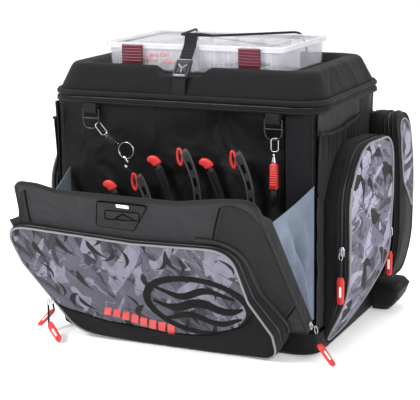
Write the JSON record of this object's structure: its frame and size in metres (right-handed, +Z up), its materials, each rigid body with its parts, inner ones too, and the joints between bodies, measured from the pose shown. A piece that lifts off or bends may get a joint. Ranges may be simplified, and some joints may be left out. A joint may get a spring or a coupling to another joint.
{
  "type": "soft-sided fishing tackle bag",
  "caption": "Soft-sided fishing tackle bag with a moulded zip lid, a strapped-on clear utility box and a folded-open front tool flap.",
  "frame": {"origin": "middle of the base's underside, on the ground", "axes": "+X to the bag's right as seen from the front, -Y to its front where the flap opens, +Z up"},
  "size_m": [0.6412, 0.6553, 0.5637],
  "materials": {
    "fabric_black": "woven nylon, matt",
    "fabric_charcoal": "heather woven, matt",
    "fabric_camo": "printed woven, matt",
    "fabric_lining": "smooth coated lining",
    "webbing": "ribbed webbing",
    "shell_moulded": "fabric-covered moulded foam, matt",
    "plastic_base": "moulded, matt",
    "plastic_dark": "satin",
    "plastic_clear": "clear, slightly frosted",
    "plastic_maroon": "ribbed, glossy",
    "rubber_red": "soft touch",
    "rubber_lure": "soft, slightly shiny",
    "rubber_black": "embossed, matt",
    "steel": "nickel plated"
  },
  "bodies": {
    "bag": {"main_shell": "fabric_black", "base_tray": "plastic_base", "lower_zip_band": "fabric_black", "rear_compartment": "fabric_black", "right_front_pocket": "fabric_camo", "left_front_pocket": "fabric_camo", "right_rear_pocket": "fabric_camo", "left_rear_pocket": "fabric_camo", "right_elastic_pocket": "fabric_charcoal", "left_elastic_pocket": "fabric_charcoal", "d_ring_tab_left": "webbing", "d_ring_tab_right": "webbing", "tool_board": "fabric_charcoal", "flap_gusset_left": "fabric_lining", "flap_gusset_right": "fabric_lining"},
    "lid": {"upper_zip_band": "fabric_black", "lid_shell": "shell_moulded", "hold_down_lower_webbing": "webbing", "female_buckle": "plastic_dark", "box_tray": "plastic_clear", "box_dividers": "plastic_clear", "soft_lure": "rubber_lure"},
    "hold_down": {"male_buckle": "plastic_dark", "hold_down_upper_webbing": "webbing", "elastic_cord": "webbing", "cord_sleeve": "webbing"},
    "utility_box_lid": {"box_lid": "plastic_clear"},
    "left_latch": {"box_latch_left": "plastic_maroon"},
    "right_latch": {"box_latch_right": "plastic_maroon"},
    "flap": {"flap_shell": "fabric_charcoal", "flap_pocket": "fabric_camo", "flap_patch": "rubber_black"},
    "left_d_ring": {"d_ring_left": "steel"},
    "right_d_ring": {"d_ring_right": "steel"},
    "lanyard": {"lanyard_link": "steel", "lanyard_coil": "steel", "lanyard_split_ring": "steel", "lanyard_cord": "webbing"},
    "cutter_snap": {"snap_link": "steel", "cutter_swivel": "steel"},
    "line_cutter": {"cutter_body": "rubber_red"},
    "pliers_a": {"plier_a_left": "plastic_dark"},
    "pliers_a_handle": {"plier_a_right": "plastic_dark"},
    "pliers_b": {"plier_b_left": "plastic_dark"},
    "pliers_b_handle": {"plier_b_right": "plastic_dark"},
    "pliers_c": {"plier_c_left": "plastic_dark"},
    "pliers_c_handle": {"plier_c_right": "plastic_dark"},
    "right_front_zip_slider": {"right_front_zip_slider": "steel"},
    "right_front_zip_pull": {"right_front_zip_pull": "rubber_red"},
    "right_rear_zip_slider": {"right_rear_zip_slider": "steel"},
    "right_rear_zip_pull": {"right_rear_zip_pull": "rubber_red"},
    "left_front_zip_slider": {"left_front_zip_slider": "steel"},
    "left_front_zip_pull": {"left_front_zip_pull": "rubber_red"},
    "left_rear_zip_slider": {"left_rear_zip_slider": "steel"},
    "left_rear_zip_pull": {"left_rear_zip_pull": "rubber_red"},
    "flap_right_zip_slider": {"flap_right_zip_slider": "steel"},
    "flap_right_zip_pull": {"flap_right_zip_pull": "rubber_red"},
    "flap_left_zip_slider": {"flap_left_zip_slider": "steel"},
    "flap_left_zip_pull": {"flap_left_zip_pull": "rubber_red"},
    "flap_left_zip_second_pull": {"flap_left_zip_second_pull": "rubber_red"}
  },
  "joints": [
    {"name": "lid_hinge", "type": "hinge", "parent": "bag", "child": "lid", "pos_m": [0, 0.181, 0.4468], "axis": [-1, 0, 0], "range_deg": [0, 100]},
    {"name": "hold_down_release", "type": "hinge", "parent": "lid", "child": "hold_down", "pos_m": [0, 0.1415, 0.507], "axis": [-1, 0, 0], "range_deg": [0, 105]},
    {"name": "utility_box_hinge", "type": "hinge", "parent": "lid", "child": "utility_box_lid", "pos_m": [0, 0.117, 0.533], "axis": [-1, 0, 0], "range_deg": [0, 95]},
    {"name": "left_latch_hinge", "type": "hinge", "parent": "utility_box_lid", "child": "left_latch", "pos_m": [-0.118, -0.1184, 0.537], "axis": [-1, 0, 0], "range_deg": [0, 110]},
    {"name": "right_latch_hinge", "type": "hinge", "parent": "utility_box_lid", "child": "right_latch", "pos_m": [0.114, -0.1184, 0.537], "axis": [-1, 0, 0], "range_deg": [0, 110]},
    {"name": "flap_hinge", "type": "hinge", "parent": "bag", "child": "flap", "pos_m": [0, -0.18, 0.068], "axis": [1, 0, 0], "range_deg": [-39, 0], "deforming": ["flap_gusset_left", "flap_gusset_right"]},
    {"name": "left_d_ring_swing", "type": "hinge", "parent": "bag", "child": "left_d_ring", "pos_m": [-0.1765, -0.177, 0.425], "axis": [-1, 0, 0], "range_deg": [0, 25]},
    {"name": "right_d_ring_swing", "type": "hinge", "parent": "bag", "child": "right_d_ring", "pos_m": [0.182, -0.177, 0.425], "axis": [-1, 0, 0], "range_deg": [0, 70]},
    {"name": "lanyard_swing", "type": "hinge", "parent": "left_d_ring", "child": "lanyard", "pos_m": [-0.1619, -0.177, 0.3964], "axis": [-1, 0, 0], "range_deg": [0, 20]},
    {"name": "cutter_snap_swing", "type": "hinge", "parent": "right_d_ring", "child": "cutter_snap", "pos_m": [0.1845, -0.177, 0.389], "axis": [-1, 0, 0], "range_deg": [0, 40]},
    {"name": "line_cutter_spin", "type": "hinge", "parent": "cutter_snap", "child": "line_cutter", "pos_m": [0.1845, -0.181, 0.351], "axis": [0, 0, 1], "continuous": true},
    {"name": "pliers_a_draw", "type": "slide", "parent": "bag", "child": "pliers_a", "axis": [0, 0, 1], "range_m": [0, 0.016], "deforming": ["lanyard_cord"]},
    {"name": "pliers_a_pivot", "type": "hinge", "parent": "pliers_a", "child": "pliers_a_handle", "pos_m": [-0.056, -0.1852, 0.147], "axis": [0, -1, 0], "range_deg": [-4, 10]},
    {"name": "pliers_b_draw", "type": "slide", "parent": "bag", "child": "pliers_b", "axis": [0, 0, 1], "range_m": [0, 0.08]},
    {"name": "pliers_b_pivot", "type": "hinge", "parent": "pliers_b", "child": "pliers_b_handle", "pos_m": [0.036, -0.1852, 0.199], "axis": [0, -1, 0], "range_deg": [-4, 10]},
    {"name": "pliers_c_draw", "type": "slide", "parent": "bag", "child": "pliers_c", "axis": [0, 0, 1], "range_m": [0, 0.08]},
    {"name": "pliers_c_pivot", "type": "hinge", "parent": "pliers_c", "child": "pliers_c_handle", "pos_m": [0.139, -0.1852, 0.201], "axis": [0, -1, 0], "range_deg": [-4, 10]},
    {"name": "right_front_zip_run", "type": "slide", "parent": "bag", "child": "right_front_zip_slider", "axis": [0, 0, 1], "range_m": [-0.05, 0.06]},
    {"name": "right_front_zip_pull_swing", "type": "hinge", "parent": "right_front_zip_slider", "child": "right_front_zip_pull", "pos_m": [0.2924, -0.1384, 0.19], "axis": [-1, 0, 0], "range_deg": [0, 80]},
    {"name": "right_rear_zip_run", "type": "slide", "parent": "bag", "child": "right_rear_zip_slider", "axis": [0, 0, 1], "range_m": [-0.04, 0.02]},
    {"name": "right_rear_zip_pull_swing", "type": "hinge", "parent": "right_rear_zip_slider", "child": "right_rear_zip_pull", "pos_m": [0.3014, 0.12, 0.168], "axis": [-1, 0, 0], "range_deg": [0, 12]},
    {"name": "left_front_zip_run", "type": "slide", "parent": "bag", "child": "left_front_zip_slider", "axis": [0, 0, 1], "range_m": [-0.05, 0.06]},
    {"name": "left_front_zip_pull_swing", "type": "hinge", "parent": "left_front_zip_slider", "child": "left_front_zip_pull", "pos_m": [-0.2826, -0.1384, 0.19], "axis": [-1, 0, 0], "range_deg": [0, 80]},
    {"name": "left_rear_zip_run", "type": "slide", "parent": "bag", "child": "left_rear_zip_slider", "axis": [0, 0, 1], "range_m": [-0.04, 0.02]},
    {"name": "left_rear_zip_pull_swing", "type": "hinge", "parent": "left_rear_zip_slider", "child": "left_rear_zip_pull", "pos_m": [-0.28908, 0.12, 0.168], "axis": [-1, 0, 0], "range_deg": [0, 12]},
    {"name": "flap_right_zip_run", "type": "slide", "parent": "flap", "child": "flap_right_zip_slider", "axis": [0, -0.6428, 0.766], "range_m": [0, 0.15]},
    {"name": "flap_right_zip_pull_swing", "type": "hinge", "parent": "flap_right_zip_slider", "child": "flap_right_zip_pull", "pos_m": [0.265, -0.191, 0.068], "axis": [0, -1, 0], "range_deg": [0, 60]},
    {"name": "flap_left_zip_run", "type": "slide", "parent": "flap", "child": "flap_left_zip_slider", "axis": [0, -0.6428, 0.766], "range_m": [0, 0.12]},
    {"name": "flap_left_zip_pull_swing", "type": "hinge", "parent": "flap_left_zip_slider", "child": "flap_left_zip_pull", "pos_m": [-0.265, -0.208, 0.062], "axis": [-1, 0, 0], "range_deg": [0, 60]},
    {"name": "flap_left_zip_second_pull_swing", "type": "hinge", "parent": "flap_left_zip_slider", "child": "flap_left_zip_second_pull", "pos_m": [-0.264, -0.193, 0.056], "axis": [0, 0, -1], "range_deg": [0, 60]}
  ],
  "couplings": [
    {"joint": "utility_box_hinge", "follows": "hold_down_release", "ratio": 0.9}
  ]
}
